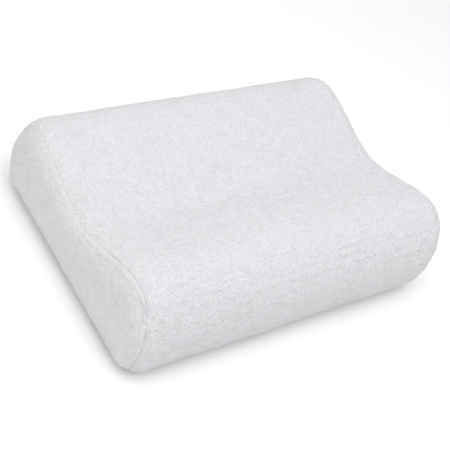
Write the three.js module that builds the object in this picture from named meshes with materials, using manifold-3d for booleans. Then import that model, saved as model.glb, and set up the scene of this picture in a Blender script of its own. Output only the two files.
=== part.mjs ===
// A contour neck pillow: a moulded foam core with a tall front lobe, a lower back lobe and a
// valley between them, in a thin liner, inside a plush cover that a zip closes along its back.
// Millimetres. X runs along the pillow, the tall lobe is on the -Y side and Z is up. The
// origin is at the middle of the base.
import * as THREE from 'three';
import { mergeVertices } from 'three/addons/utils/BufferGeometryUtils.js';
import Module from 'manifold-3d';

const wasm = await Module();
wasm.setup();

// Overall size of the covered pillow.
const length = 480;
const depth = 342;
const frontHeight = 134;
const valleyHeight = 100;
const backHeight = 125;

// Side outline. Crests are measured in from the front and back faces, and a girth height is
// where a face stands upright. A foot is how far the base draws in under the face.
const frontCrest = 55;
const backCrest = 54;
const valleyShift = -2;
const frontGirth = 53;
const backGirth = 49;
const frontFoot = 31;
const backFoot = 22;
const endRound = 32;
const crestHandle = 0.3;

// Layers, from the outside in.
const coverThickness = 4;
const coverLinerGap = 1;
const linerThickness = 0.8;
const linerFoamGap = 0.5;

// Sewing. The end seams run round the rounded ends, the front seam just above the base.
const seamTurn = Math.PI / 4;
const seamGap = 1.6;
const linerSeamGap = 0.6;
const frontSeamHeight = 8;
const threadDiameter = 0.9;

// Zip along the back, at the girth height.
const zipEndMargin = 65;
const zipSlot = 14;
const tapeThickness = 0.5;
const coilWidth = 2.2;
const coilThickness = 1.6;
const fit = 0.3;

// Slider, with its channel over the coils, and its pull tab.
const sliderLength = 12;
const sliderFlare = 1.2;
const sliderCorner = 1.6;
const outerPlate = 1.1;
const innerPlate = 0.8;
const bridgeThickness = 0.8;
const bridgeLength = 3;
const flangeThickness = 0.8;
const crownWall = 0.9;
const crownThickness = 1.8;
const tabLength = 22;
const tabWidth = 7.6;
const tabNeck = 6;
const tabThickness = 1.2;
const tabEyeRadius = 1.6;
const tabEyeInset = 4.2;

// Stops and label.
const stopLength = 2.4;
const bottomStopLength = 3.2;
const labelWidth = 26;
const labelDrop = 34;
const labelThickness = 0.5;
const labelGap = 0.4;
const labelTuck = 1.1;
const labelZipGap = 6;

// Mesh fineness.
const curveSteps = 7;
const endSteps = 5;

// Worked out from the sizes above.
const quarterHandle = 0.5523;
const far = length + depth + frontHeight;
const frontSeamRise = (frontGirth - frontSeamHeight) / frontGirth;
const frontSeamY = frontFoot * (1 - Math.sqrt(1 - frontSeamRise ** 2)) - depth / 2;
const linerInset = coverThickness + coverLinerGap;
const foamInset = linerInset + linerThickness + linerFoamGap;
const backFace = depth / 2;
const zipLength = length - 2 * zipEndMargin;
const bridgeGap = bridgeThickness / 2 + fit;
const coilEdge = bridgeGap + coilWidth;
const tailHalf = coilEdge + fit + flangeThickness;
const noseHalf = tailHalf + sliderFlare;
const plateFloor = fit - linerInset;
const tapeInner = plateFloor + innerPlate + fit;
const tapeOuter = tapeInner + tapeThickness;
const coilInner = tapeOuter + fit;
const coilOuter = coilInner + coilThickness;
const stopRoom = bottomStopLength + fit;
const coilLength = zipLength - 2 * (stopRoom + fit);
const sliderTravel = coilLength - sliderLength;
const sliderRestX = sliderTravel / 2;
const plateInner = coilOuter + fit;
const plateOuter = plateInner + outerPlate;
const barReach = (tabThickness / 2) * Math.SQRT2;
const barHeight = fit + barReach;
const crownInner = barHeight + barReach + fit;
const crownOuter = crownInner + crownWall;
const windowReach = Math.hypot(crownOuter, barHeight) + fit;
const windowHalf = crownThickness / 2 + fit;

// Side outline at an even depth under the outer face: points (y, z) that run up the front,
// over the lobes and down the back. Corners are quarter ellipses, and the lobes meet the
// valley in S-curves that are level at both ends.
function outline(inset) {
  const front = inset - depth / 2;
  const back = depth / 2 - inset;
  const path = new THREE.Path();
  path.moveTo(front + frontFoot * Math.exp(-inset / frontFoot), inset);
  levelToUpright(path, front, frontGirth);
  uprightToLevel(path, frontCrest - depth / 2, frontHeight - inset);
  levelToLevel(path, valleyShift, valleyHeight - inset);
  levelToLevel(path, depth / 2 - backCrest, backHeight - inset);
  levelToUpright(path, back, backGirth);
  uprightToLevel(path, back - backFoot * Math.exp(-inset / backFoot), inset);
  return path.getPoints(curveSteps);
}

// Quarter ellipse that starts level and ends upright.
function levelToUpright(path, y, z) {
  const from = path.currentPoint.clone();
  const handleY = from.x + quarterHandle * (y - from.x);
  const handleZ = z - quarterHandle * (z - from.y);
  path.bezierCurveTo(handleY, from.y, y, handleZ, y, z);
}

// Quarter ellipse that starts upright and ends level.
function uprightToLevel(path, y, z) {
  const from = path.currentPoint.clone();
  const handleZ = from.y + quarterHandle * (z - from.y);
  const handleY = y - quarterHandle * (y - from.x);
  path.bezierCurveTo(from.x, handleZ, handleY, z, y, z);
}

// S-curve between two crests.
function levelToLevel(path, y, z) {
  const from = path.currentPoint.clone();
  const handle = crestHandle * (y - from.x);
  path.bezierCurveTo(from.x + handle, from.y, y - handle, z, y, z);
}

// Closed surface through a row of rings that all have the same number of points, with a flat
// cap at each end.
function loft(rings) {
  const count = rings[0].points.length;
  const positions = rings.flatMap((ring) => ring.points.flatMap((p) => [ring.x, p.x, p.y]));
  const index = [];
  for (let i = 0; i + 1 < rings.length; i++) {
    for (let j = 0; j < count; j++) {
      const a = i * count + j;
      const b = i * count + ((j + 1) % count);
      index.push(a, b + count, b, a, a + count, b + count);
    }
  }
  const lastRing = (rings.length - 1) * count;
  for (const [a, b, c] of cap(rings[0].points)) index.push(a, c, b);
  for (const [a, b, c] of cap(rings.at(-1).points)) index.push(lastRing + a, lastRing + b, lastRing + c);
  const geometry = new THREE.BufferGeometry();
  geometry.setAttribute('position', new THREE.Float32BufferAttribute(positions, 3));
  geometry.setIndex(index);
  return geometry;
}

// Triangles of a flat cap, anticlockwise in the (y, z) plane.
function cap(points) {
  const last = points.length - 1;
  const turned = points.slice().reverse();
  return THREE.ShapeUtils.triangulateShape(turned, []).map((face) => face.map((k) => last - k));
}

// Pillow-shaped solid at an even depth under the outer face. Towards each end its outline
// draws in along a quarter circle.
function pillowSolid(inset) {
  const radius = endRound - inset;
  const rings = [];
  for (let i = 0; i <= endSteps; i++) {
    const turn = ((i / endSteps) * Math.PI) / 2;
    const x = length / 2 - inset - radius * (1 - Math.cos(turn));
    const points = outline(inset + radius * (1 - Math.sin(turn)));
    rings.push({ x: -x, points });
  }
  const mirrored = rings.map((ring) => ({ x: -ring.x, points: ring.points })).reverse();
  return solid(loft([...rings, ...mirrored]));
}

// Layer of even thickness between two depths under the outer face.
function layer(outer, inner) {
  return pillowSolid(outer).subtract(pillowSolid(inner));
}

// Distance from the middle to the end seam of a layer whose outer face is at this depth.
function seamAt(inset) {
  return length / 2 - inset - (endRound - inset) * (1 - Math.cos(seamTurn));
}

// Solid from a closed geometry.
function solid(geometry) {
  const bare = geometry.clone();
  bare.deleteAttribute('normal');
  bare.deleteAttribute('uv');
  const merged = mergeVertices(bare, 1e-4);
  const vertProperties = new Float32Array(merged.attributes.position.array);
  const triVerts = new Uint32Array(merged.index.array);
  return new wasm.Manifold(new wasm.Mesh({ numProp: 3, vertProperties, triVerts }));
}

// Geometry of a solid.
function geometryOf(manifold) {
  const mesh = manifold.getMesh();
  const geometry = new THREE.BufferGeometry();
  geometry.setAttribute('position', new THREE.BufferAttribute(mesh.vertProperties, 3));
  geometry.setIndex(new THREE.BufferAttribute(mesh.triVerts, 1));
  geometry.computeVertexNormals();
  return geometry;
}

// Box between two corners.
function slab(low, high) {
  const size = high.map((value, i) => value - low[i]);
  const geometry = new THREE.BoxGeometry(...size);
  geometry.translate(...low.map((value, i) => value + size[i] / 2));
  return geometry;
}

// Shape in the (x, z) plane, given thickness from y = low to y = high.
function plate(shape, low, high) {
  const geometry = new THREE.ExtrudeGeometry(shape, {
    depth: high - low,
    bevelEnabled: false,
    curveSegments: 6,
  });
  geometry.rotateX(-Math.PI / 2);
  geometry.translate(0, low, 0);
  return geometry;
}

// Section in the (z, y) plane, carried along X from low to high.
function strip(section, low, high) {
  const geometry = new THREE.ExtrudeGeometry(section, {
    depth: high - low,
    bevelEnabled: false,
    curveSegments: 5,
  });
  geometry.rotateY(-Math.PI / 2);
  geometry.translate(high, 0, 0);
  return geometry;
}

const finishes = {
  plush: { color: 0xe9e8ec, roughness: 0.95, metalness: 0 },
  foam: { color: 0xf3ecd6, roughness: 0.9, metalness: 0 },
  liner: { color: 0xf0f0ee, roughness: 0.9, metalness: 0 },
  thread: { color: 0xe2e1e5, roughness: 0.8, metalness: 0 },
  tape: { color: 0xe6e6e8, roughness: 0.85, metalness: 0 },
  coil: { color: 0xebebed, roughness: 0.5, metalness: 0 },
  slider: { color: 0xdedee0, roughness: 0.4, metalness: 0.3 },
  label: { color: 0xf4f4f4, roughness: 0.8, metalness: 0 },
};

const pillow = new THREE.Group();

function add(parent, name, finish, geometry) {
  const material = new THREE.MeshStandardMaterial(finishes[finish]);
  const mesh = new THREE.Mesh(geometry, material);
  mesh.name = name;
  parent.add(mesh);
}

// Foam core and liner. The liner is a sleeve with a sewn-in piece at each end.
function addInside() {
  add(pillow, 'foam_core', 'foam', geometryOf(pillowSolid(foamInset)));
  const skin = layer(linerInset, linerInset + linerThickness);
  const seam = seamAt(linerInset);
  const inner = seam - linerSeamGap / 2;
  const outer = seam + linerSeamGap / 2;
  const sleeveCut = solid(slab([-inner, -far, -far], [inner, far, far]));
  const leftCut = solid(slab([-far, -far, -far], [-outer, far, far]));
  const rightCut = solid(slab([outer, -far, -far], [far, far, far]));
  add(pillow, 'liner_sleeve', 'liner', geometryOf(skin.intersect(sleeveCut)));
  add(pillow, 'liner_left_end', 'liner', geometryOf(skin.intersect(leftCut)));
  add(pillow, 'liner_right_end', 'liner', geometryOf(skin.intersect(rightCut)));
}

// Everything below the front and back seams, with its boundary moved up by a shift. It runs
// in square to the cover from the front seam, and level from the back seam.
function belowSeams(shift) {
  const level = backGirth + shift;
  const lean = frontSeamHeight - frontSeamY + shift * Math.SQRT2;
  const section = new THREE.Shape();
  section.moveTo(level, far);
  section.lineTo(level, level - lean);
  section.lineTo(-far, -far - lean);
  section.lineTo(-far, far);
  return solid(strip(section, -far, far));
}

// Plush cover: a top panel from the front seam over both lobes to the zip, a base panel from
// the front seam under the pillow to the zip, and a panel at each end.
function addCover() {
  const plush = layer(0, coverThickness);
  const seam = seamAt(0);
  const inner = seam - seamGap / 2;
  const outer = seam + seamGap / 2;
  const leftCut = solid(slab([-far, -far, -far], [-outer, far, far]));
  const rightCut = solid(slab([outer, -far, -far], [far, far, far]));
  add(pillow, 'cover_left_end_panel', 'plush', geometryOf(plush.intersect(leftCut)));
  add(pillow, 'cover_right_end_panel', 'plush', geometryOf(plush.intersect(rightCut)));

  const band = plush.intersect(solid(slab([-inner, -far, -far], [inner, far, far])));
  const slot = solid(
    slab(
      [-zipLength / 2, backFace - linerInset, backGirth - zipSlot / 2],
      [zipLength / 2, far, backGirth + zipSlot / 2],
    ),
  );
  const top = band.subtract(belowSeams(seamGap / 2)).subtract(slot);
  const base = band.intersect(belowSeams(-seamGap / 2)).subtract(slot);
  add(pillow, 'cover_top_panel', 'plush', geometryOf(top));
  add(pillow, 'cover_base_panel', 'plush', geometryOf(base));
}

// Seam threads, half way through the cover's thickness.
function addThreads() {
  const middle = coverThickness / 2;
  const half = threadDiameter / 2;
  const track = layer(middle - half, middle + half);
  const along = track.intersect(belowSeams(half).subtract(belowSeams(-half)));
  const seam = seamAt(0);
  const run = seam - seamGap / 2;
  const zipEnd = zipLength / 2 + fit;
  const cuts = {
    left_end_seam_thread: [track, [-seam - half, -far, -far], [-seam + half, far, far]],
    right_end_seam_thread: [track, [seam - half, -far, -far], [seam + half, far, far]],
    front_seam_thread: [along, [-run, -far, -far], [run, 0, far]],
    back_seam_thread_left: [along, [-run, 0, -far], [-zipEnd, far, far]],
    back_seam_thread_right: [along, [zipEnd, 0, -far], [run, far, far]],
  };
  for (const [name, [whole, low, high]] of Object.entries(cuts)) {
    add(pillow, name, 'thread', geometryOf(whole.intersect(solid(slab(low, high)))));
  }
}

// Zip tapes, coils and stops. In this group y = 0 is the cover's outer face and z = 0 is the
// middle of the zip.
const zip = new THREE.Group();
zip.position.set(0, backFace, backGirth);
pillow.add(zip);

function addZip() {
  const tapeHalf = zipLength / 2 - fit;
  const tapeEdge = zipSlot / 2 - fit;
  const coilHalf = coilLength / 2;
  for (const [side, sign] of [['upper', 1], ['lower', -1]]) {
    const [tapeLow, tapeHigh] = [bridgeGap * sign, tapeEdge * sign].sort((a, b) => a - b);
    const tape = slab([-tapeHalf, tapeInner, tapeLow], [tapeHalf, tapeOuter, tapeHigh]);
    add(zip, `zip_tape_${side}`, 'tape', tape);
    add(zip, `zip_coil_${side}`, 'coil', strip(coilSection(sign), -coilHalf, coilHalf));
    const [stopLow, stopHigh] = [bridgeGap * sign, coilEdge * sign].sort((a, b) => a - b);
    const stopStart = coilHalf + fit;
    const stop = slab([stopStart, coilInner, stopLow], [stopStart + stopLength, plateInner, stopHigh]);
    add(zip, `zip_top_stop_${side}`, 'coil', stop);
  }
  const bottomEnd = -coilHalf - fit;
  const bottomStop = slab(
    [bottomEnd - bottomStopLength, coilInner, -coilEdge],
    [bottomEnd, plateInner, coilEdge],
  );
  add(zip, 'zip_bottom_stop', 'coil', bottomStop);
}

// Section of one coil: flat on the tape and rounded over on the outside.
function coilSection(sign) {
  const middle = sign * (bridgeGap + coilWidth / 2);
  const section = new THREE.Shape();
  section.moveTo(middle - coilWidth / 2, coilInner);
  section.lineTo(middle + coilWidth / 2, coilInner);
  section.absellipse(middle, coilInner, coilWidth / 2, coilThickness, 0, Math.PI, false, 0);
  return section;
}

// Slider: two plates joined by a bridge between the coils, flanges outside the coils, and a
// crown over the pull tab's bar. It stands at the closed end, with its nose towards +X.
function addSlider() {
  const slider = new THREE.Group();
  slider.position.x = sliderRestX;
  zip.add(slider);
  const plan = sliderPlan();
  const noseX = sliderLength / 2;
  const overlap = bridgeThickness / 2;
  const plateRoof = plateFloor + innerPlate;
  let body = solid(plate(plan, plateInner, plateOuter));
  body = body.add(solid(plate(plan, plateFloor, plateRoof)));
  const bridgeLow = [noseX - sliderCorner - bridgeLength, plateRoof - overlap, -bridgeThickness / 2];
  const bridgeHigh = [noseX - sliderCorner, plateInner + overlap, bridgeThickness / 2];
  body = body.add(solid(slab(bridgeLow, bridgeHigh)));
  const flangeRun = sliderLength / 2 - sliderCorner;
  for (const sign of [1, -1]) {
    const [low, high] = [(coilEdge + fit) * sign, tailHalf * sign].sort((a, b) => a - b);
    const flange = slab([-flangeRun, tapeOuter + fit, low], [flangeRun, plateInner + overlap, high]);
    body = body.add(solid(flange));
  }
  body = body.add(solid(crown()));
  add(slider, 'zip_slider', 'slider', geometryOf(body));
  add(slider, 'zip_pull_tab', 'slider', pullTab());
}

// Plan of the slider's plates: a shield, wide at the nose and narrower at the tail.
function sliderPlan() {
  const nose = sliderLength / 2;
  const corner = nose - sliderCorner;
  const plan = new THREE.Shape();
  plan.moveTo(-corner, -tailHalf);
  plan.lineTo(corner, -noseHalf);
  plan.quadraticCurveTo(nose, -noseHalf, nose, sliderCorner - noseHalf);
  plan.lineTo(nose, noseHalf - sliderCorner);
  plan.quadraticCurveTo(nose, noseHalf, corner, noseHalf);
  plan.lineTo(-corner, tailHalf);
  plan.quadraticCurveTo(-nose, tailHalf, -nose, tailHalf - sliderCorner);
  plan.lineTo(-nose, sliderCorner - tailHalf);
  plan.quadraticCurveTo(-nose, -tailHalf, -corner, -tailHalf);
  return plan;
}

// Half-round arch that stands on the outer plate, with its feet sunk into it.
function crown() {
  const sink = outerPlate / 2;
  const arch = new THREE.Shape();
  arch.moveTo(crownOuter, -sink);
  arch.lineTo(crownOuter, 0);
  arch.absarc(0, 0, crownOuter, 0, Math.PI, false);
  arch.lineTo(-crownOuter, -sink);
  arch.lineTo(-crownInner, -sink);
  arch.lineTo(-crownInner, 0);
  arch.absarc(0, 0, crownInner, Math.PI, 0, true);
  arch.lineTo(crownInner, -sink);
  const geometry = new THREE.ExtrudeGeometry(arch, {
    depth: crownThickness,
    bevelEnabled: false,
    curveSegments: 10,
  });
  geometry.translate(0, plateOuter, -crownThickness / 2);
  return geometry;
}

// Pull tab, lying back along the zip towards -X, with a window for the crown and an eye.
function pullTab() {
  const bar = tabThickness / 2;
  const end = bar - tabLength;
  const round = tabWidth / 2;
  const tab = new THREE.Shape();
  tab.moveTo(bar, -tabNeck / 2);
  tab.lineTo(bar, tabNeck / 2);
  tab.lineTo(-windowReach, tabNeck / 2);
  tab.lineTo(end + round, tabWidth / 2);
  tab.absarc(end + round, 0, round, Math.PI / 2, Math.PI * 1.5, false);
  tab.lineTo(-windowReach, -tabNeck / 2);
  const opening = new THREE.Path();
  opening.moveTo(-bar, -windowHalf);
  opening.lineTo(-windowReach, -windowHalf);
  opening.lineTo(-windowReach, windowHalf);
  opening.lineTo(-bar, windowHalf);
  const eye = new THREE.Path();
  eye.absarc(end + tabEyeInset, 0, tabEyeRadius, 0, Math.PI * 2, true);
  tab.holes.push(opening, eye);
  const middle = plateOuter + barHeight;
  return plate(tab, middle - tabThickness / 2, middle + tabThickness / 2);
}

// Blank care label: tucked into the back seam beyond the closed end of the zip, hanging down.
function addLabel() {
  const section = new THREE.Shape();
  const outerY = labelGap + labelThickness;
  const halfTuck = labelThickness / 2;
  section.moveTo(-labelDrop, labelGap);
  section.lineTo(-halfTuck, labelGap);
  section.lineTo(-halfTuck, -labelTuck);
  section.lineTo(halfTuck, -labelTuck);
  section.lineTo(halfTuck, outerY);
  section.lineTo(-labelDrop, outerY);
  const start = zipLength / 2 + labelZipGap;
  add(zip, 'care_label', 'label', strip(section, start, start + labelWidth));
}

addInside();
addCover();
addThreads();
addZip();
addSlider();
addLabel();

export default pillow;
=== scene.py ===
"""Contour neck pillow: a plush cover with a zip along its back, over a liner and a foam core.

Metres. X runs along the pillow, the tall front lobe is on the -Y side and Z is up.
"""
import math

import bmesh
import bpy
import numpy as np
from mathutils import Matrix, Vector


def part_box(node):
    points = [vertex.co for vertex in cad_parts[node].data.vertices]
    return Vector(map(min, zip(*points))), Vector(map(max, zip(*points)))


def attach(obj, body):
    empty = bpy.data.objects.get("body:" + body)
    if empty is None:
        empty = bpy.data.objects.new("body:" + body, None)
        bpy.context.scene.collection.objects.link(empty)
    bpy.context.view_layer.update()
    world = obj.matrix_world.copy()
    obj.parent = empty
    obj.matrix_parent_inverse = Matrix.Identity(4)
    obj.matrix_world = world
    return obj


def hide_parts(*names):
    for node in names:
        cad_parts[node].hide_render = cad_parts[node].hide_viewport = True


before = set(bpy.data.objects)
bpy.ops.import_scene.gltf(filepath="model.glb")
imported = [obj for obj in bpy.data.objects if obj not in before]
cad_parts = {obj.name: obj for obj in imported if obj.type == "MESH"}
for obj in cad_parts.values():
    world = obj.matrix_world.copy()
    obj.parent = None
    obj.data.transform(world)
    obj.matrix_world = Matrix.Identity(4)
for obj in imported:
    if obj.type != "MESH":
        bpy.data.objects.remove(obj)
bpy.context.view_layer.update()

MM = 0.001

# Size of the covered pillow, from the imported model.
top_low, top_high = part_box("cover_top_panel")
end_low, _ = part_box("cover_left_end_panel")
LENGTH = -2 * end_low[0]
DEPTH = -2 * top_low[1]
FRONT_HEIGHT = top_high[2]

# Side outline: crests are measured in from the front and back faces.
VALLEY_HEIGHT = 100 * MM
BACK_HEIGHT = 125 * MM
FRONT_CREST = 55 * MM
BACK_CREST = 54 * MM
VALLEY_SHIFT = -2 * MM
FRONT_GIRTH = 53 * MM
BACK_GIRTH = 49 * MM
FRONT_FOOT = 31 * MM
BACK_FOOT = 32 * MM
END_ROUND = 32 * MM
CREST_HANDLE = 0.3
QUARTER_HANDLE = 0.5523

# Layers and sewing.
COVER_THICKNESS = 4 * MM
LINER_INSET = 5 * MM
LINER_THICKNESS = 0.8 * MM
FOAM_INSET = 6.3 * MM
SEAM_TURN = math.pi / 4
SEAM_HALF = 0.8 * MM
LINER_SEAM_HALF = 0.3 * MM
FRONT_SEAM_HEIGHT = 8 * MM
SEAM_TUCK = 0.8 * MM
SEAM_DIVE = 0.9 * MM
ZIP_SLOT = 350 * MM
ZIP_OPENING = 7 * MM

# How a panel's edge is rolled in: how deep it sinks at the stitches, how high it swells beside
# them, and whether both fade towards the back lobe.
END_SEAM_EDGE = (0.3 * MM, 0.1 * MM, True)
FRONT_SEAM_EDGE = (0.7 * MM, 0.3 * MM, False)
ZIP_EDGE = (1.2 * MM, 0.3 * MM, False)

# The same for the end panels: the left one stands in a ridge at its seam, the right one hardly.
END_PANEL_SINK = 0.2 * MM
END_PANEL_SWELLS = {"left": 1.8 * MM, "right": 0.4 * MM}

# Stretch of outline parameter over which a panel's edge closes in past the zip's ends.
SEAM_EASE = 0.35

# Outline parameter once round, and just short of it.
RING_END = 7.0
RING_LAST = RING_END - 1e-6

# How far the clumps of the pile stand out and sink in.
PILE_DEPTH = 1.0 * MM

# Lowest point of the cloth over the surface it rests on.
REST_GAP = 0.15 * MM

# Slow rise and fall of the cloth, and how far from its edges any further rise starts to fade.
SWAY_RISE = 0.45 * MM
RISE_MARGIN = 9 * MM

# Where an end seam begins to fade, over what depth it does, and how much of it is left.
FADE_START = -10 * MM
FADE_RUN = 70 * MM
FAINTEST = 0.2

# Rise of the cloth where it spans the valley, and how far from its middle that reaches.
BRIDGE_RISE = 2.2 * MM
BRIDGE_REACH = 34 * MM

# Hollow past each end of the zip: its depth, its middle, and its half length and half height.
PRESS_DEPTH = 2.0 * MM
PRESS_OFFSET = 6 * MM
PRESS_REACH = 11 * MM
PRESS_HEIGHT = 9 * MM

# Frames that the cloth is given to settle.
SETTLE_FRAMES = 20

# Points of the foam's caps along the depth and up the height. The rings of the foam and of the
# liner have the same points as the edge of such a cap.
CORE_ROWS, CORE_COLUMNS = 61, 23

# How many cells of a panel's outside lie along one cell of its inside.
COARSE = 4


# ---------------------------------------------------------------- camera, floor and light

def placed(name, data):
    """Object that holds the data, in the scene."""
    made = bpy.data.objects.new(name, data)
    bpy.context.scene.collection.objects.link(made)
    return made


def aim_camera():
    """Camera that looks down on the left end and the front, rolled so that its right side is up."""
    azimuth, elevation, roll = math.radians(-52.1), math.radians(42.1), math.radians(27.3)
    distance, aim_height = 1.3188, 48 * MM
    back = np.array([
        math.sin(azimuth) * math.cos(elevation),
        -math.cos(azimuth) * math.cos(elevation),
        math.sin(elevation),
    ])
    level = np.array([math.cos(azimuth), math.sin(azimuth), 0.0])
    upright = np.cross(back, level)
    right = math.cos(roll) * level + math.sin(roll) * upright
    up = math.cos(roll) * upright - math.sin(roll) * level
    place = back * distance + [0, 0, aim_height]
    data = bpy.data.cameras.new("camera")
    data.sensor_width = 36
    data.lens = 81.9
    data.shift_x = -0.0087
    data.shift_y = -0.0338
    data.clip_start, data.clip_end = 0.01, 50
    camera = placed("camera", data)
    turn = Matrix(np.column_stack([right, up, back]).tolist()).to_4x4()
    camera.matrix_world = Matrix.Translation(place.tolist()) @ turn
    bpy.context.scene.camera = camera


def add_area_light(name, place, size, power, colour):
    """Square soft box aimed at the middle of the pillow."""
    data = bpy.data.lights.new(name, "AREA")
    data.size = size
    data.energy = power
    data.color = colour
    light = placed(name, data)
    back = np.array(place, float) - [0, 0, 60 * MM]
    turn = Matrix.Translation(place) @ Vector(back).to_track_quat("Z", "Y").to_matrix().to_4x4()
    light.matrix_world = turn


def make_studio():
    """Pale floor in a white room, with a large soft box above the front left and a weaker warm
    one beside the left end."""
    scene = bpy.context.scene
    scene.view_settings.view_transform = "Standard"
    world = bpy.data.worlds.new("studio")
    world.use_nodes = True
    background = world.node_tree.nodes["Background"]
    background.inputs["Color"].default_value = (1, 1, 1, 1)
    background.inputs["Strength"].default_value = 0.79
    scene.world = world
    add_area_light("soft_box_top", (-0.3, -0.3, 1.5), 1.25, 12.5, (1, 1, 1))
    add_area_light("warm_fill", (-1.8, -0.1, 0.4), 0.9, 1.8, (1, 0.80, 0.66))
    floor = piece_from("floor", *plane(6.0), floor_finish())


def plane(half):
    """Flat square of that half side, at height zero."""
    corners = np.array([[-half, -half, 0], [half, -half, 0], [half, half, 0], [-half, half, 0]])
    return corners, [[0, 1, 2, 3]]


# ---------------------------------------------------------------- finishes

class Finish:
    """A Principled material and short ways to add nodes to it."""

    def __init__(self, name, colour, roughness, **sockets):
        self.material = bpy.data.materials.new(name)
        self.material.use_nodes = True
        self.tree = self.material.node_tree
        self.shader = self.tree.nodes["Principled BSDF"]
        self.shader.inputs["Base Color"].default_value = (*colour, 1)
        self.shader.inputs["Roughness"].default_value = roughness
        for socket, value in sockets.items():
            self.shader.inputs[socket.replace("_", " ")].default_value = value
        self.place = self.node("ShaderNodeTexCoord").outputs["Object"]

    def node(self, kind, **values):
        """New node, with its properties or its unlinked inputs set by name."""
        made = self.tree.nodes.new(kind)
        for name, value in values.items():
            if hasattr(made, name):
                setattr(made, name, value)
            else:
                made.inputs[name.replace("_", " ")].default_value = value
        return made

    def join(self, output, socket):
        """Link from an output to an input."""
        self.tree.links.new(output, socket)

    def noise(self, size, detail=3.0, roughness=0.55, stretch=None):
        """Noise whose grains are about that size in metres, drawn out along an axis by stretch."""
        place = self.place
        if stretch is not None:
            mapping = self.node("ShaderNodeMapping")
            mapping.inputs["Scale"].default_value = stretch
            self.join(place, mapping.inputs["Vector"])
            place = mapping.outputs["Vector"]
        noise = self.node("ShaderNodeTexNoise", Scale=1 / size, Detail=detail, Roughness=roughness)
        self.join(place, noise.inputs["Vector"])
        return noise.outputs["Fac"]

    def ramp(self, value, low, high, dark, light):
        """Blend from one colour to another as value goes from low to high."""
        ramp = self.node("ShaderNodeValToRGB")
        ramp.color_ramp.elements[0].position = low
        ramp.color_ramp.elements[1].position = high
        ramp.color_ramp.elements[0].color = (*dark, 1)
        ramp.color_ramp.elements[1].color = (*light, 1)
        self.join(value, ramp.inputs["Fac"])
        return ramp.outputs["Color"]

    def mix(self, one, other, share):
        """Blend of two colours by a fixed share of the second."""
        mix = self.node("ShaderNodeMix", data_type="RGBA")
        mix.inputs["Factor"].default_value = share
        self.join(one, mix.inputs["A"])
        self.join(other, mix.inputs["B"])
        return mix.outputs["Result"]

    def colour(self, output):
        """Makes an output the base colour."""
        self.join(output, self.shader.inputs["Base Color"])

    def bump(self, *layers):
        """Bumps in turn, each (height, depth in metres)."""
        normal = None
        for height, depth in layers:
            bump = self.node("ShaderNodeBump", Distance=depth)
            self.join(height, bump.inputs["Height"])
            if normal is not None:
                self.join(normal, bump.inputs["Normal"])
            normal = bump.outputs["Normal"]
        self.join(normal, self.shader.inputs["Normal"])


def floor_finish():
    """Matt pale paper, almost even."""
    finish = Finish("studio_floor", (0.93, 0.93, 0.93), 0.9)
    speck = finish.noise(0.4, 2)
    tone = finish.ramp(speck, 0.3, 0.7, (0.925, 0.925, 0.925), (0.935, 0.935, 0.935))
    finish.colour(tone)
    return finish.material


def plush_finish():
    """Short white pile: clumps of fibre in slightly different whites, a soft sheen and fine fuzz."""
    finish = Finish(
        "white_plush", (0.76, 0.755, 0.785), 0.95, Sheen_Weight=0.4, Sheen_Roughness=0.5,
    )
    finish.shader.inputs["Specular IOR Level"].default_value = 0.15
    clumps = finish.noise(2.2 * MM, 3, 0.65)
    patches = finish.noise(16 * MM, 3)
    clump_tone = finish.ramp(clumps, 0.35, 0.65, (0.70, 0.695, 0.725), (0.93, 0.93, 0.96))
    patch_tone = finish.ramp(patches, 0.3, 0.7, (0.785, 0.775, 0.812), (0.865, 0.865, 0.908))
    finish.colour(finish.mix(clump_tone, patch_tone, 0.45))
    fuzz = finish.noise(1.1 * MM, 4, 0.7)
    finish.bump((clumps, 1.3 * MM), (fuzz, 0.9 * MM))
    return finish.material


def backing_finish():
    """Knitted back of the plush and the liner: fine courses of loops."""
    finish = Finish("knit_liner", (0.80, 0.80, 0.79), 0.9, Sheen_Weight=0.1)
    courses = finish.node("ShaderNodeTexWave", Scale=1 / (5 * MM), Distortion=1.5, Detail=2.0)
    courses.inputs["Detail Scale"].default_value = 2.0
    finish.join(finish.place, courses.inputs["Vector"])
    slubs = finish.noise(1.6 * MM, 3, 0.6)
    tone = finish.ramp(slubs, 0.3, 0.7, (0.76, 0.76, 0.75), (0.84, 0.84, 0.83))
    finish.colour(tone)
    finish.bump((courses.outputs["Fac"], 0.3 * MM), (slubs, 0.3 * MM))
    return finish.material


def foam_finish():
    """Slow-recovery foam: a cream skin with fine open cells."""
    finish = Finish("cream_foam", (0.86, 0.80, 0.64), 0.85)
    cells = finish.node("ShaderNodeTexVoronoi", Scale=1 / (1.4 * MM))
    finish.join(finish.place, cells.inputs["Vector"])
    patches = finish.noise(30 * MM, 3)
    tone = finish.ramp(patches, 0.3, 0.7, (0.84, 0.77, 0.60), (0.88, 0.83, 0.69))
    finish.colour(tone)
    finish.bump((cells.outputs["Distance"], 0.35 * MM))
    return finish.material


def thread_finish():
    """Spun polyester sewing thread."""
    finish = Finish("sewing_thread", (0.74, 0.735, 0.76), 0.7, Sheen_Weight=0.2)
    plies = finish.noise(0.5 * MM, 3, 0.6, (0.3, 1, 1))
    tone = finish.ramp(plies, 0.3, 0.7, (0.68, 0.675, 0.70), (0.79, 0.785, 0.81))
    finish.colour(tone)
    finish.bump((plies, 0.15 * MM))
    return finish.material


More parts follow.
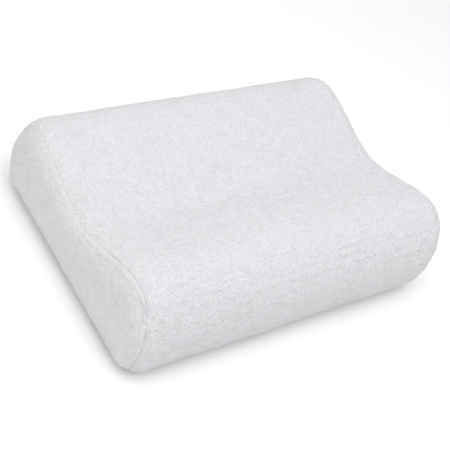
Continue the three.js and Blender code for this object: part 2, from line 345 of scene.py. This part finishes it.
def tape_finish():
    """Woven zip tape: fine diagonal ribs."""
    finish = Finish("zip_tape", (0.76, 0.76, 0.78), 0.85, Sheen_Weight=0.1)
    ribs = finish.node("ShaderNodeTexWave", Scale=1 / (3.2 * MM), Distortion=0.4, Detail=1.0)
    ribs.bands_direction = "DIAGONAL"
    finish.join(finish.place, ribs.inputs["Vector"])
    slubs = finish.noise(0.8 * MM, 3, 0.6)
    tone = finish.ramp(slubs, 0.3, 0.7, (0.71, 0.71, 0.73), (0.80, 0.80, 0.82))
    finish.colour(tone)
    finish.bump((ribs.outputs["Fac"], 0.25 * MM), (slubs, 0.1 * MM))
    return finish.material


def coil_finish():
    """Drawn nylon monofilament: smooth and a little milky."""
    finish = Finish("zip_coil_nylon", (0.80, 0.80, 0.82), 0.38)
    flow = finish.noise(1.2 * MM, 2)
    tone = finish.ramp(flow, 0.3, 0.7, (0.78, 0.78, 0.80), (0.83, 0.83, 0.85))
    finish.colour(tone)
    finish.bump((flow, 0.05 * MM))
    return finish.material


def enamel_finish():
    """White enamel over a die-cast slider, thin and slightly uneven."""
    finish = Finish("slider_enamel", (0.74, 0.74, 0.75), 0.3, Coat_Weight=0.3, Coat_Roughness=0.15)
    orange_peel = finish.noise(1.5 * MM, 2)
    tone = finish.ramp(orange_peel, 0.3, 0.7, (0.72, 0.72, 0.73), (0.76, 0.76, 0.77))
    finish.colour(tone)
    finish.bump((orange_peel, 0.04 * MM))
    return finish.material


def label_finish():
    """Blank satin care label."""
    finish = Finish("satin_label", (0.84, 0.84, 0.84), 0.45, Sheen_Weight=0.3)
    threads = finish.noise(0.35 * MM, 2, 0.5, (1, 1, 0.15))
    tone = finish.ramp(threads, 0.3, 0.7, (0.81, 0.81, 0.81), (0.87, 0.87, 0.87))
    finish.colour(tone)
    finish.bump((threads, 0.08 * MM))
    return finish.material


# ---------------------------------------------------------------- meshes

def piece_from(name, points, faces, material, smooth=True):
    """Mesh object from points and faces, at the origin. smooth is for all faces, or one each."""
    mesh = bpy.data.meshes.new(name)
    mesh.from_pydata(np.asarray(points).reshape(-1, 3), [], faces)
    if material is not None:
        mesh.materials.append(material)
    mesh.polygons.foreach_set("use_smooth", smooth & np.ones(len(mesh.polygons), bool))
    mesh.update()
    return placed(name, mesh)


def quads(rows, columns, start=0, turn=False):
    """Quads of a grid of points, facing along (next row) x (next column), or away when turned."""
    index = np.arange(rows * columns).reshape(rows, columns) + start
    a, b, c, d = index[:-1, :-1], index[1:, :-1], index[1:, 1:], index[:-1, 1:]
    order = (a, d, c, b) if turn else (a, b, c, d)
    return np.stack([part.ravel() for part in order], axis=1)


def rim_loop(rows, columns, start=0):
    """Indices round the edge of a grid, in the direction that its quads run."""
    index = np.arange(rows * columns).reshape(rows, columns) + start
    return np.concatenate([index[:-1, 0], index[-1, :-1], index[:0:-1, -1], index[0, :0:-1]])


def shell_from(name, outside, inside, material):
    """Closed shell between two grids of the same cloth. The inside has one cell for every
    COARSE cells of the outside, and its rim is joined to the outside's by fans of triangles."""
    rows, columns = outside.shape[:2]
    inner_rows, inner_columns = inside.shape[:2]
    start = rows * columns
    fine = rim_loop(rows, columns)
    coarse = rim_loop(inner_rows, inner_columns, start)
    step = np.arange(len(fine))
    half = (COARSE + 1) // 2
    apex = coarse[(step // COARSE + (step % COARSE >= half)) % len(coarse)]
    fans = np.stack([np.roll(fine, -1), fine, apex], axis=1)
    gaps = np.stack([coarse, np.roll(coarse, -1), fine[half::COARSE]], axis=1)
    points = np.concatenate([outside.reshape(-1, 3), inside.reshape(-1, 3)])
    faces = [
        *quads(rows, columns).tolist(),
        *quads(inner_rows, inner_columns, start, turn=True).tolist(),
        *fans.tolist(),
        *gaps.tolist(),
    ]
    smooth = np.arange(len(faces)) < len(faces) - len(fans) - len(gaps)
    return piece_from(name, points, faces, material, smooth)


def normals_of(grid):
    """Unit normals of a grid: the cross product of its two directions."""
    across = np.cross(np.gradient(grid, axis=0), np.gradient(grid, axis=1))
    return across / (np.linalg.norm(across, axis=2, keepdims=True) + 1e-12)


def lattice_noise(points, size, seed):
    """Random numbers from -1 to 1 at the corners of a cubic lattice of that size, turned off the
    axes, and blended smoothly between the corners."""
    table = np.random.default_rng(seed).uniform(-1, 1, (64, 64, 64))
    turn = np.array([[0.66, 0.66, -0.36], [-0.75, 0.58, -0.31], [0.0, 0.48, 0.88]])
    place = points @ turn.T / size
    cell = np.floor(place).astype(int)
    part = place - cell
    part = part * part * (3 - 2 * part)
    total = np.zeros(points.shape[:-1])
    for corner in np.ndindex(2, 2, 2):
        weight = np.prod(np.where(corner, part, 1 - part), axis=-1)
        i, j, k = np.moveaxis((cell + corner) % 64, -1, 0)
        total += weight * table[i, j, k]
    return total


# ---------------------------------------------------------------- the pillow's form

def outline(t, inset):
    """Side outline (y, z) at a depth under the outer face. t from 0 to 1 is the front foot, to 2
    the front of the tall lobe, to 4 its back, the valley and the rise of the back lobe, to 5 the
    back, to 6 the back foot and to 7 the flat base. Each stretch is one cubic curve."""
    t, inset = np.broadcast_arrays(np.asarray(t, float) % RING_END, np.asarray(inset, float))
    front, back = inset - DEPTH / 2, DEPTH / 2 - inset
    front_foot = front + FRONT_FOOT * np.exp(-inset / FRONT_FOOT)
    back_foot = back - BACK_FOOT * np.exp(-inset / BACK_FOOT)
    knots = [
        (front_foot, inset),
        (front, FRONT_GIRTH + 0 * inset),
        (FRONT_CREST - DEPTH / 2 + 0 * inset, FRONT_HEIGHT - inset),
        (VALLEY_SHIFT + 0 * inset, VALLEY_HEIGHT - inset),
        (DEPTH / 2 - BACK_CREST + 0 * inset, BACK_HEIGHT - inset),
        (back, BACK_GIRTH + 0 * inset),
        (back_foot, inset),
        (front_foot, inset),
    ]
    level, upright, slope = (QUARTER_HANDLE, 0), (0, QUARTER_HANDLE), (CREST_HANDLE, 0)
    handles = [
        (level, upright), (upright, level), (slope, slope), (slope, slope),
        (level, upright), (upright, level), (slope, slope),
    ]
    result = np.zeros((*t.shape, 2))
    for k, ((from_y, from_z), (to_y, to_z)) in enumerate(zip(knots, knots[1:])):
        here = (t >= k) & (t < k + 1)
        u = t - k
        leave, arrive = handles[k]
        for axis, (start, stop) in enumerate([(from_y, to_y), (from_z, to_z)]):
            run = stop - start
            one = start + leave[axis] * run
            two = stop - arrive[axis] * run
            value = (
                (1 - u) ** 3 * start + 3 * (1 - u) ** 2 * u * one
                + 3 * (1 - u) * u * u * two + u ** 3 * stop
            )
            result[..., axis] = np.where(here, value, result[..., axis])
    return result


def even_ring(start, stop, count):
    """Outline parameters from start to stop, spaced evenly along the outer face."""
    fine = np.linspace(start, stop, 2000)
    path = outline(fine, 0.0)
    travel = np.concatenate([[0], np.cumsum(np.linalg.norm(np.diff(path, axis=0), axis=1))])
    return np.interp(np.linspace(0, travel[-1], count), travel, fine)


def end_run(inset):
    """Length of the cloth from the pillow's middle to an end seam, at a depth."""
    return LENGTH / 2 - END_ROUND + (END_ROUND - inset) * SEAM_TURN


def end_curve(along, inset):
    """Half length run from 0 at the middle to the end seam: straight, then round an eighth of a
    circle. Gives x and how far the outline draws in. along is from -1 to 1."""
    radius = END_ROUND - inset
    straight = LENGTH / 2 - END_ROUND
    run = np.abs(along) * end_run(inset)
    turn = np.clip(run - straight, 0, None) / radius
    x = np.where(run < straight, run, straight + radius * np.sin(turn))
    return np.sign(along) * x, inset + radius * (1 - np.cos(turn))


def band(t, along, inset):
    """Part of the pillow between its end seams: one row of points for each place along."""
    x, draw_in = end_curve(along, inset)
    section = outline(np.atleast_2d(t), draw_in[:, None])
    x = np.broadcast_to(x[:, None, None], (*section.shape[:2], 1))
    return np.concatenate([x, section], axis=2)


# Corners of an end panel on the outline: front foot, front top, back top and back foot.
END_CORNERS = (0.55, 1.62, 4.42, 5.5)


def stretched(front, back, base, top):
    """Surface between four edges: the two blends of opposite edges, less the blend of the
    corners. Rows run from the front edge to the back one, columns from the base to the top."""
    u = np.linspace(0, 1, len(base))[:, None, None]
    v = np.linspace(0, 1, len(front))[None, :, None]
    corners = (
        (1 - u) * (1 - v) * front[0] + (1 - u) * v * front[-1]
        + u * (1 - v) * back[0] + u * v * back[-1]
    )
    return (1 - u) * front + u * back + (1 - v) * base[:, None] + v * top[:, None] - corners


def cap_sides(rows, columns):
    """Outline parameters of the four sides of an end panel."""
    foot_front, top_front, top_back, foot_back = END_CORNERS
    return (
        even_ring(foot_front, top_front, columns),
        even_ring(top_front, top_back, rows),
        even_ring(top_back, foot_back, columns),
        even_ring(foot_back, RING_END + foot_front, rows),
    )


def end_cap(sign, inset, rows, columns, margin=0.0):
    """End panel inside its seam: a surface stretched between the four sides of its outline and
    domed by a quarter circle of the distance from the pillow's own outline. margin holds its
    rim back from the seam."""
    radius = END_ROUND - inset
    turn = SEAM_TURN + margin / radius
    draw_in = inset + radius * (1 - math.cos(turn))
    rim_x = LENGTH / 2 - END_ROUND + radius * math.sin(turn)
    front, top, back, base = (outline(t, draw_in) for t in cap_sides(rows, columns))
    flat = stretched(front, back[::-1], base[::-1], top)
    ring = outline(even_ring(0, RING_LAST, 700), inset)
    gap = np.full(flat.shape[:2], np.inf)
    for part in np.array_split(ring, 10):
        gap = np.minimum(gap, np.linalg.norm(flat[:, :, None] - part, axis=3).min(axis=2))
    lift = np.clip(1 - gap / radius, 0, 1)
    x = LENGTH / 2 - END_ROUND + radius * np.sqrt(1 - lift ** 2)
    miss = (x - rim_x)[..., None]
    x = x - stretched(miss[0], miss[-1], miss[:, 0], miss[:, -1])[..., 0]
    cap = np.concatenate([sign * x[..., None], flat], axis=2)
    return cap if sign > 0 else cap[:, ::-1]


# ---------------------------------------------------------------- cloth simulation

def finer(field):
    """Field on a coarse grid, carried to a grid with COARSE cells for each of its cells by cubic
    curves through the neighbouring values, first along rows and then along columns."""
    for axis in (0, 1):
        field = np.moveaxis(field, axis, 0)
        count = len(field)
        place = np.arange((count - 1) * COARSE + 1) / COARSE
        cell = np.minimum(place.astype(int), count - 2)
        part = (place - cell).reshape(-1, *[1] * (field.ndim - 1))
        before = field[np.maximum(cell - 1, 0)]
        here, after = field[cell], field[cell + 1]
        beyond = field[np.minimum(cell + 2, count - 1)]
        bend = 2 * before - 5 * here + 4 * after - beyond
        twist = 3 * (here - after) + beyond - before
        field = here + 0.5 * part * (after - before + part * (bend + part * twist))
        field = np.moveaxis(field, 0, axis)
    return field


def settled(name, start, form, slack, cap):
    """How each point of a sewn-in panel moves when its cloth, cut a little too large where slack
    is 1, is held at its edges and puffed off the form under it. No point moves more than cap."""
    rows, columns = start.shape[:2]
    scene = bpy.context.scene
    cloth = piece_from(name, start, quads(rows, columns), None)
    under = piece_from(name + "_form", form, quads(rows, columns), None)
    under.modifiers.new("collision", "COLLISION")
    under.collision.thickness_outer = 0.5 * MM
    sewn = cloth.vertex_groups.new(name="sewn")
    sewn.add(rim_loop(rows, columns).tolist(), 1.0, "REPLACE")
    loose = cloth.vertex_groups.new(name="loose")
    levels = np.round(slack.ravel(), 2)
    for level in np.unique(levels):
        loose.add(np.flatnonzero(levels == level).tolist(), float(level), "REPLACE")
    modifier = cloth.modifiers.new("cloth", "CLOTH")
    settings = modifier.settings
    settings.quality = 6
    settings.mass = 0.25
    settings.tension_stiffness = settings.compression_stiffness = 12
    settings.shear_stiffness = 6
    settings.bending_stiffness = 0.6
    settings.tension_damping = settings.compression_damping = 20
    settings.use_pressure = True
    settings.uniform_pressure_force = 0.6
    settings.vertex_group_mass = "sewn"
    settings.vertex_group_shrink = "loose"
    settings.shrink_min = 0.0
    settings.shrink_max = -0.045
    settings.effector_weights.gravity = 0
    modifier.collision_settings.distance_min = 0.8 * MM
    modifier.collision_settings.use_self_collision = False
    for timed in (scene, modifier.point_cache):
        timed.frame_start, timed.frame_end = 1, SETTLE_FRAMES
    for frame_number in range(1, SETTLE_FRAMES + 1):
        scene.frame_set(frame_number)
    shaped = cloth.evaluated_get(bpy.context.evaluated_depsgraph_get())
    points = np.empty(rows * columns * 3)
    shaped.data.vertices.foreach_get("co", points)
    scene.frame_set(1)
    for used in (cloth, under):
        bpy.data.objects.remove(used)
    moved = points.reshape(start.shape) - start
    size = np.linalg.norm(moved, axis=2, keepdims=True)
    return moved * np.minimum(1, cap / np.maximum(size, 1e-9))


# ---------------------------------------------------------------- cover panels

def pile(points, normals, depth):
    """Points moved along their normals by the clumps of the pile, of two sizes."""
    clumps = lattice_noise(points, 4.0 * MM, 1) * 0.3 + lattice_noise(points, 1.7 * MM, 2) * 0.9
    return points + normals * (depth * clumps)[..., None]


def edge_distance(grid):
    """Distance of each point from the four edges of its grid, along its rows and columns."""
    rows = np.linalg.norm(np.diff(grid, axis=0), axis=2)
    columns = np.linalg.norm(np.diff(grid, axis=1), axis=2)
    down = np.concatenate([np.zeros((1, grid.shape[1])), np.cumsum(rows, axis=0)])
    over = np.concatenate([np.zeros((grid.shape[0], 1)), np.cumsum(columns, axis=1)], axis=1)
    return down, down[-1:] - down, over, over[:, -1:] - over


def rolled_edge(distance, sink, ridge, width=2.7 * MM):
    """How cloth rises and falls beside a seam: it sinks in at the stitches, and its turned-in
    edge makes a low ridge beside them."""
    dip = np.exp(-(distance / (0.6 * width)) ** 2)
    swell = np.exp(-((distance - 1.7 * width) / width) ** 2)
    return ridge * swell - sink * dip


def seam_strength(points):
    """How plainly an end seam shows: 1 round the tall lobe, fading smoothly to FAINTEST under the
    brushed pile of the valley and the back lobe."""
    part = np.clip((FADE_START - points[..., 1]) / FADE_RUN, 0, 1)
    return FAINTEST + (1 - FAINTEST) * part * part * (3 - 2 * part)


def sway(points):
    """Slow rise and fall of cloth lying on foam, of two sizes."""
    return lattice_noise(points, 42 * MM, 3) + 0.5 * lattice_noise(points, 19 * MM, 4)


def zip_press(points):
    """Hollow in the plush past each end of the zip, where the pull tab lies flat."""
    over = (np.abs(points[..., 0]) - ZIP_SLOT / 2 - PRESS_OFFSET) / PRESS_REACH
    up = (points[..., 2] - BACK_GIRTH) / PRESS_HEIGHT
    return -PRESS_DEPTH * np.exp(-(over ** 2) - up ** 2) * (points[..., 1] > 0)


def low_gathers(points):
    """Soft gathers that run along the bottom of the front, fading out with height."""
    low = np.exp(-((points[..., 2] / (30 * MM)) ** 2)) * (points[..., 1] < 0)
    folds = lattice_noise(points * [0.22, 1, 1], 11 * MM, 5)
    bulges = lattice_noise(points * [1, 0.3, 0.3], 65 * MM, 6)
    return low * (1.5 * MM * folds + 2.2 * MM * bulges)


def cover_panel(name, outside, inside, edges, material, settle=None, extra=0.0):
    """Plush panel: the outer grid after its cloth has settled, with its edges rolled in to the
    seams, and its pile. extra is any further rise of the cloth."""
    normals = normals_of(outside)
    if settle is not None:
        outside = outside + finer(settle)
    away = np.min(edge_distance(outside), axis=0)
    lift = SWAY_RISE * sway(outside) + extra * np.clip(away / RISE_MARGIN, 0, 1)
    lift = lift + zip_press(outside)
    for distance, (sink, ridge, fades) in zip(edge_distance(outside), edges):
        strength = seam_strength(outside) if fades else 1.0
        lift = lift + rolled_edge(distance, sink, ridge) * strength
        dive = SEAM_DIVE * (0.3 + 0.7 * strength)
        lift = lift - dive * np.exp(-((distance / SEAM_TUCK) ** 2))
    formed = pile(outside + normals * lift[..., None], normals, PILE_DEPTH)
    formed[..., 2] = np.maximum(formed[..., 2], REST_GAP)
    piece = shell_from(name + "_plush", formed, inside, material)
    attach(piece, "pillow")
    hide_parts(name)


def front_turn(height):
    """Outline parameter on the front foot at a height, on the outer face."""
    fine = np.linspace(0, 1, 4000)
    return float(np.interp(height, outline(fine, 0.0)[:, 1], fine))


def back_turn(height):
    """Outline parameter on the back at a height, on the outer face."""
    fine = np.linspace(5.9, 4.1, 4000)
    return float(np.interp(height, outline(fine, 0.0)[:, 1], fine))


def zip_edge_turns(across, along, zip_side):
    """Outline parameters of a panel that ends at the zip, for each place along: beside the zip
    its edge keeps ZIP_OPENING from the zip's middle, and past the zip's ends it closes in to the
    seam. zip_side is 0 or -1, the column of across that lies at the zip."""
    x, _ = end_curve(along, 0.0)
    open_part = np.clip((ZIP_SLOT / 2 + 1.5 * MM - np.abs(x)) / (3 * MM), 0, 1)
    overlap = SEAM_TUCK if zip_side == 0 else -SEAM_TUCK
    close = (back_turn(BACK_GIRTH + overlap) - across[zip_side]) * (1 - open_part)
    reach = np.clip(1 - np.abs(across - across[zip_side]) / SEAM_EASE, 0, 1) ** 2
    return across + close[:, None] * reach


def wrapped(across, along):
    """Outer and inner grids of a panel that wraps round the pillow: the outer one passes the end
    seams by SEAM_TUCK, and the inner one stops SEAM_HALF short of them."""
    apart, tucked = 1 - SEAM_HALF / end_run(0.0), 1 + SEAM_TUCK / end_run(0.0)
    outside = band(across, along * tucked, 0.0)
    inside = band(across[::COARSE, ::COARSE], along[::COARSE] * apart, COVER_THICKNESS)
    return outside, inside


def top_settle(start, across, along):
    """How the top panel's cloth moves: most near the bottom of the front, and not at all in the
    valley, where it spans from lobe to lobe."""
    height, depth = start[..., 2], start[..., 1]
    low = np.clip(1 - height / (75 * MM), 0, 1) * (depth < 0)
    form = band(across, along, 1.6 * MM)
    moved = settled("top_panel_cloth", start, form, 0.25 + 0.75 * low, 5 * MM)
    valley = np.exp(-(((depth - VALLEY_SHIFT) / (60 * MM)) ** 2)) * (height > VALLEY_HEIGHT / 2)
    return moved * (1 - valley)[..., None]


def make_top_panel(material):
    """Top panel: from the front seam over both lobes to the zip."""
    rows, columns = 68, 82
    start = front_turn(FRONT_SEAM_HEIGHT - 0.7 * SEAM_TUCK)
    stop = back_turn(BACK_GIRTH + ZIP_OPENING)
    along = np.linspace(-1, 1, rows * COARSE + 1)
    across = zip_edge_turns(even_ring(start, stop, columns * COARSE + 1), along, -1)
    outside, inside = wrapped(across, along)
    settle = None
    coarse = slice(None, None, COARSE)
    settle = top_settle(outside[coarse, coarse], across[coarse, coarse], along[coarse])
    bridge = np.exp(-(((outside[..., 1] - VALLEY_SHIFT) / BRIDGE_REACH) ** 2))
    bridge = BRIDGE_RISE * bridge * (outside[..., 2] > VALLEY_HEIGHT / 2)
    cover_panel(
        "cover_top_panel", outside, inside,
        (END_SEAM_EDGE, END_SEAM_EDGE, FRONT_SEAM_EDGE, ZIP_EDGE), material,
        settle=settle, extra=bridge + low_gathers(outside),
    )


def make_base_panel(material):
    """Base panel: from the zip, under the pillow, to the front seam."""
    rows, columns = 44, 36
    start = back_turn(BACK_GIRTH - ZIP_OPENING)
    stop = RING_END + front_turn(FRONT_SEAM_HEIGHT + 0.7 * SEAM_TUCK)
    along = np.linspace(-1, 1, rows * COARSE + 1)
    across = zip_edge_turns(even_ring(start, stop, columns * COARSE + 1), along, 0)
    outside, inside = wrapped(across, along)
    cover_panel(
        "cover_base_panel", outside, inside,
        (END_SEAM_EDGE, END_SEAM_EDGE, ZIP_EDGE, FRONT_SEAM_EDGE), material,
    )


def make_end_panel(sign, side, material):
    """End panel, inside its end seam."""
    name = f"cover_{side}_end_panel"
    rows, columns = 46, 18
    outside = end_cap(sign, 0.0, rows * COARSE + 1, columns * COARSE + 1, -SEAM_TUCK)
    inside = end_cap(sign, COVER_THICKNESS, rows + 1, columns + 1, SEAM_HALF)
    settle = None
    start = outside[::COARSE, ::COARSE]
    form = start - [sign * 2 * MM, 0, 0]
    settle = settled(name + "_cloth", start, form, np.full(start.shape[:2], 0.5), 4 * MM)
    edge = (END_PANEL_SINK, END_PANEL_SWELLS[side], True)
    cover_panel(name, outside, inside, (edge,) * 4, material, settle)


def make_cover(material):
    """The plush cover, without its zip: four panels."""
    make_top_panel(material)
    make_base_panel(material)
    make_end_panel(-1, "left", material)
    make_end_panel(1, "right", material)


# ---------------------------------------------------------------- inside the cover

def corner_ring():
    """Outline parameters once round, spaced as on the rims of the foam's caps."""
    return np.concatenate([side[:-1] for side in cap_sides(CORE_ROWS, CORE_COLUMNS)])


def merge_points(mesh, gap, flat_angle=None):
    """Joins points closer than the gap, and joins faces that meet at less than flat_angle."""
    work = bmesh.new()
    work.from_mesh(mesh)
    bmesh.ops.remove_doubles(work, verts=work.verts, dist=gap)
    if flat_angle is not None:
        bmesh.ops.dissolve_limit(work, angle_limit=flat_angle, verts=work.verts, edges=work.edges)
    work.to_mesh(mesh)
    work.free()


def make_foam(material):
    """Foam core: a closed skin, its band rolled round and a cap on each end."""
    ring = corner_ring()
    body = band(np.append(ring, ring[0]), np.linspace(-1, 1, 101), FOAM_INSET)
    caps = [end_cap(sign, FOAM_INSET, CORE_ROWS, CORE_COLUMNS) for sign in (-1, 1)]
    points, faces, start = [], [], 0
    for grid in (body, *caps):
        grid = grid + normals_of(grid) * (0.15 * MM * lattice_noise(grid, 6 * MM, 7))[..., None]
        points.append(grid.reshape(-1, 3))
        faces.append(quads(*grid.shape[:2], start))
        start += grid.shape[0] * grid.shape[1]
    core = piece_from("foam_core_skin", np.concatenate(points), np.concatenate(faces), material)
    merge_points(core.data, 0.4 * MM)
    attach(core, "pillow")
    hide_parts("foam_core")


def make_liner(material):
    """Liner: a knitted sleeve, open at both ends, and an end piece sewn into each."""
    ring = corner_ring()
    along = np.linspace(-1, 1, 91) * (1 - LINER_SEAM_HALF / end_run(LINER_INSET))
    outer = band(ring, along, LINER_INSET)
    ripple = 0.25 * MM * lattice_noise(outer, 14 * MM, 8)
    outer = outer + normals_of(outer) * np.minimum(ripple, 0.2 * MM)[..., None]
    inner = band(ring, along, LINER_INSET + LINER_THICKNESS)
    wall = np.concatenate([outer, inner[::-1]])
    index = np.arange(wall.shape[0] * wall.shape[1]).reshape(wall.shape[:2])
    down, right = np.roll(index, -1, axis=0), np.roll(index, -1, axis=1)
    faces = np.stack([index, down, np.roll(down, -1, axis=1), right], axis=2).reshape(-1, 4)
    sleeve = piece_from("liner_sleeve_knit", wall, faces, material)
    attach(sleeve, "pillow")
    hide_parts("liner_sleeve")
    for sign, side in ((-1, "left"), (1, "right")):
        rows, columns = 12, 5
        fine = (rows * COARSE + 1, columns * COARSE + 1)
        coarse = (rows + 1, columns + 1)
        outside = end_cap(sign, LINER_INSET, *fine, LINER_SEAM_HALF)
        inside = end_cap(sign, LINER_INSET + LINER_THICKNESS, *coarse, LINER_SEAM_HALF)
        end = shell_from(f"liner_{side}_end_knit", outside, inside, material)
        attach(end, "pillow")
        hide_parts(f"liner_{side}_end")


# ---------------------------------------------------------------- stitching

def strand(path, radius, across, sides=8, closed=False):
    """Tube along a path that lies square to the across direction, as thick as radius says at
    each point, with a flat disc at each open end."""
    if closed:
        ahead = np.roll(path, -1, axis=0) - np.roll(path, 1, axis=0)
    else:
        ahead = np.gradient(path, axis=0)
    ahead = ahead / np.linalg.norm(ahead, axis=1, keepdims=True)
    side = np.broadcast_to(np.asarray(across, float), path.shape)
    up = np.cross(ahead, side)
    turn = np.linspace(0, 2 * math.pi, sides, endpoint=False)[:, None]
    radius = np.broadcast_to(radius, len(path))[:, None, None]
    points = path[:, None] + radius * (np.cos(turn) * side[:, None] + np.sin(turn) * up[:, None])
    index = np.arange(len(path) * sides).reshape(-1, sides)
    if closed:
        index = np.append(index, index[:1], axis=0)
    here, after = index[:-1], index[1:]
    sleeve = np.stack([here, np.roll(here, -1, axis=1), np.roll(after, -1, axis=1), after], axis=2)
    faces = sleeve.reshape(-1, 4).tolist()
    if not closed:
        faces += [index[0, ::-1].tolist(), index[-1].tolist()]
    return points.reshape(-1, 3), faces


def stitched(name, path, material, across, closed=False):
    """Seam thread: a strand that swells in each stitch and thins where it dives into cloth."""
    travel = np.concatenate([[0], np.cumsum(np.linalg.norm(np.diff(path, axis=0), axis=1))])
    stitches = round(travel[-1] / (3.2 * MM))
    beat = np.abs(np.sin(math.pi * stitches * travel / travel[-1]))
    points, faces = strand(path, (0.26 + 0.16 * beat) * MM, across, closed=closed)
    thread = piece_from(name + "_stitches", points, faces, material)
    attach(thread, "pillow")
    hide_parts(name)


def make_threads(material):
    """Seam threads, halfway through the plush: a loop round each end, one along the front and
    one on each side of the zip."""
    depth = COVER_THICKNESS / 2
    (rim_x,), (draw_in,) = end_curve(np.array([1.0]), depth)
    loop = outline(even_ring(0, RING_LAST, 1400)[:-1], draw_in)
    for sign, side in ((-1, "left"), (1, "right")):
        path = np.column_stack([np.full(len(loop), sign * rim_x), loop])
        stitched(f"{side}_end_seam_thread", path, material, (1, 0, 0), closed=True)

    steps = 900
    x, inset = end_curve(np.linspace(-1, 1, steps) * (1 - SEAM_HALF / end_run(depth)), depth)
    level = outline(np.full(steps, front_turn(FRONT_SEAM_HEIGHT)), inset)
    slanted = (0, 0.7071, 0.7071)
    stitched("front_seam_thread", np.column_stack([x, level]), material, slanted)

    steps = 120
    for side in ("left", "right"):
        low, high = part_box(f"back_seam_thread_{side}")
        along = np.linspace(low[0], high[0], steps)
        turn = np.clip(np.abs(along) - (LENGTH / 2 - END_ROUND), 0, None) / (END_ROUND - depth)
        inset = depth + (END_ROUND - depth) * (1 - np.sqrt(1 - np.clip(turn, 0, 1) ** 2))
        path = np.column_stack([along, DEPTH / 2 - inset, np.full(steps, BACK_GIRTH)])
        stitched(f"back_seam_thread_{side}", path, material, (0, 0, 1))


# ---------------------------------------------------------------- zip

def softened(node, body, material, width):
    """Metal or moulded part: the node's own shape, merged and with its edges rounded off."""
    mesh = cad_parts[node].data.copy()
    mesh.materials.clear()
    mesh.materials.append(material)
    part = placed(node + "_part", mesh)
    merge_points(mesh, 0.005 * MM, math.radians(2))
    mesh.polygons.foreach_set("use_smooth", np.ones(len(mesh.polygons), bool))
    bevel = part.modifiers.new("rounding", "BEVEL")
    bevel.width = width
    bevel.segments = 3
    bevel.limit_method = "ANGLE"
    bevel.angle_limit = math.radians(35)
    part.modifiers.new("even_shading", "WEIGHTED_NORMAL")
    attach(part, body)
    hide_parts(node)


def make_coil(side, sign, material):
    """One coil: monofilament wound in flattened turns, sewn along the tape's edge."""
    low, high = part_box(f"zip_coil_{side}")
    pitch, radius = 1.6 * MM, 0.32 * MM
    turns = int((high[0] - low[0] - 2 * radius) / pitch)
    turn = np.linspace(0, 2 * math.pi * turns, 10 * turns + 1)
    start = low[0] + radius + (pitch / 2 if sign > 0 else 0)
    middle_y, half_y = (low[1] + high[1]) / 2, (high[1] - low[1]) / 2 - radius
    near = 0.5 * MM
    far = max(abs(low[2] - BACK_GIRTH), abs(high[2] - BACK_GIRTH)) - radius
    path = np.column_stack([
        start + pitch * turn / (2 * math.pi) * (1 - 0.5 / turns),
        middle_y + half_y * np.sin(turn),
        BACK_GIRTH + sign * ((near + far) / 2 + (far - near) / 2 * np.cos(turn)),
    ])
    ahead = np.gradient(path, axis=0)
    ahead = ahead / np.linalg.norm(ahead, axis=1, keepdims=True)
    across = np.cross(ahead, [1, 0, 0])
    across = across / np.linalg.norm(across, axis=1, keepdims=True)
    points, faces = strand(path, radius, across, sides=6)
    coil = piece_from(f"zip_coil_{side}_turns", points, faces, material)
    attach(coil, "pillow")
    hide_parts(f"zip_coil_{side}")


def make_tape(side, sign, material):
    """Zip tape: a woven strip with a corded inner edge, sewn under the edge of the plush."""
    low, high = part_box(f"zip_tape_{side}")
    rows, columns = 60, 3
    along = np.linspace(low[0], high[0], rows * COARSE + 1)
    over = np.linspace(0.5 * MM, 7.6 * MM, columns * COARSE + 1)
    grid_x, grid_z = np.meshgrid(along, over, indexing="ij")
    cord = 0.12 * MM * np.exp(-((grid_z - 0.9 * MM) / (0.5 * MM)) ** 2)
    outer = np.stack([grid_x, high[1] + cord, BACK_GIRTH + sign * grid_z], axis=2)
    inner = np.stack([grid_x, np.full(grid_x.shape, low[1]), BACK_GIRTH + sign * grid_z], axis=2)
    if sign > 0:
        outer, inner = outer[:, ::-1], inner[:, ::-1]
    strip = shell_from(f"zip_tape_{side}_weave", outer, inner[::COARSE, ::COARSE], material)
    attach(strip, "pillow")
    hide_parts(f"zip_tape_{side}")


def make_label(material):
    """Blank care label: tucked into the back seam and hanging down, a little curled."""
    low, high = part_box("care_label")
    rows, columns = 6, 8
    along = np.linspace(low[0], high[0], rows * COARSE + 1)
    fall = np.linspace(0, 1, columns * COARSE + 1)
    grid_x, drop = np.meshgrid(along, fall, indexing="ij")
    hang = (BACK_GIRTH - low[2]) * drop
    bow = 0.7 * MM * np.sin(math.pi * (grid_x - low[0]) / (high[0] - low[0])) * drop
    curl = 0.8 * MM * drop ** 3
    root = np.exp(-((hang / (1.3 * MM)) ** 2))
    y = high[1] - (high[1] - low[1]) * root + bow - curl
    outer = np.stack([grid_x, y, BACK_GIRTH + 0.2 * MM - hang], axis=2)
    outer = outer[::-1]
    inner = outer - normals_of(outer) * 0.35 * MM
    label = shell_from("care_label_satin", outer, inner[::COARSE, ::COARSE], material)
    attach(label, "pillow")
    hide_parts("care_label")


def make_zip():
    """Zip: a coil, a tape and a top stop on each side, then the bottom stop, slider and tab."""
    nylon, weave, enamel = coil_finish(), tape_finish(), enamel_finish()
    for side, sign in (("upper", 1), ("lower", -1)):
        make_coil(side, sign, nylon)
        make_tape(side, sign, weave)
        softened(f"zip_top_stop_{side}", "pillow", nylon, 0.3 * MM)
    softened("zip_bottom_stop", "pillow", nylon, 0.3 * MM)
    softened("zip_slider", "slider", enamel, 0.16 * MM)
    softened("zip_pull_tab", "pull", enamel, 0.16 * MM)


aim_camera()
make_studio()
make_cover(plush_finish())
make_foam(foam_finish())
make_liner(backing_finish())
make_threads(thread_finish())
make_zip()
make_label(label_finish())
